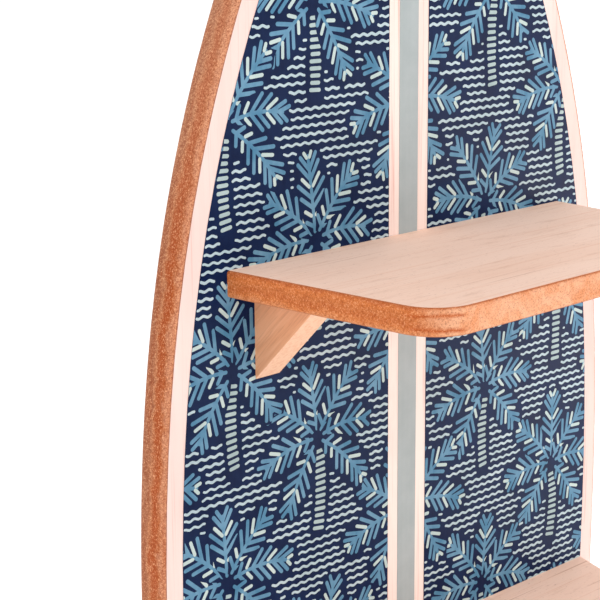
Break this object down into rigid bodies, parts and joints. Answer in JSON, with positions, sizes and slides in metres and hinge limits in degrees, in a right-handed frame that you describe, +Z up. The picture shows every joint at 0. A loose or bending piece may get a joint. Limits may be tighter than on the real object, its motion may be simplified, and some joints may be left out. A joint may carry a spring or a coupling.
{
  "type": "surfboard-shaped wall shelf",
  "caption": "Wall shelf cut to a surfboard's outline: a thick flat board with printed panels and a centre stripe, and flat shelves on triangular brackets.",
  "frame": {"origin": "on the flat back face, midway between the centres of the two keyhole hangers' round entries", "axes": "+X to the right of someone facing the shelves, +Y out of the back towards the wall, +Z up towards the nose"},
  "size_m": [0.452, 0.1913, 1.1995],
  "materials": {
    "fibreboard": "bare orange-brown fibreboard, sanded and sealed",
    "pale_veneer": "pale cream veneer, matt",
    "backing_veneer": "plain backing veneer, matt",
    "shelf_veneer": "pale beige veneer with fine grain, matt",
    "printed_film": "navy printed film with palms and waves in blue and pale green, satin",
    "stripe_film": "plain grey-green film, satin",
    "bracket_wood": "solid pale wood, sanded",
    "beech": "plain beech",
    "zinc_steel": "zinc-plated steel",
    "hanger_steel": "zinc-plated sheet steel"
  },
  "bodies": {
    "root": {"back_veneer": "backing_veneer", "board_core": "fibreboard", "bracket_dowels": "beech", "bracket_screws": "zinc_steel", "centre_stripe": "stripe_film", "front_veneer": "pale_veneer", "hanger_left": "hanger_steel", "hanger_right": "hanger_steel", "hanger_screws": "zinc_steel", "lower_left_bracket": "bracket_wood", "lower_right_bracket": "bracket_wood", "lower_shelf_bottom_veneer": "shelf_veneer", "lower_shelf_core": "fibreboard", "lower_shelf_top_veneer": "shelf_veneer", "middle_left_bracket": "bracket_wood", "middle_right_bracket": "bracket_wood", "middle_shelf_bottom_veneer": "shelf_veneer", "middle_shelf_core": "fibreboard", "middle_shelf_top_veneer": "shelf_veneer", "printed_panel_left": "printed_film", "printed_panel_right": "printed_film", "shelf_dowels": "beech", "shelf_screws": "zinc_steel", "upper_left_bracket": "bracket_wood", "upper_right_bracket": "bracket_wood", "upper_shelf_bottom_veneer": "shelf_veneer", "upper_shelf_core": "fibreboard", "upper_shelf_top_veneer": "shelf_veneer"}
  },
  "joints": []
}
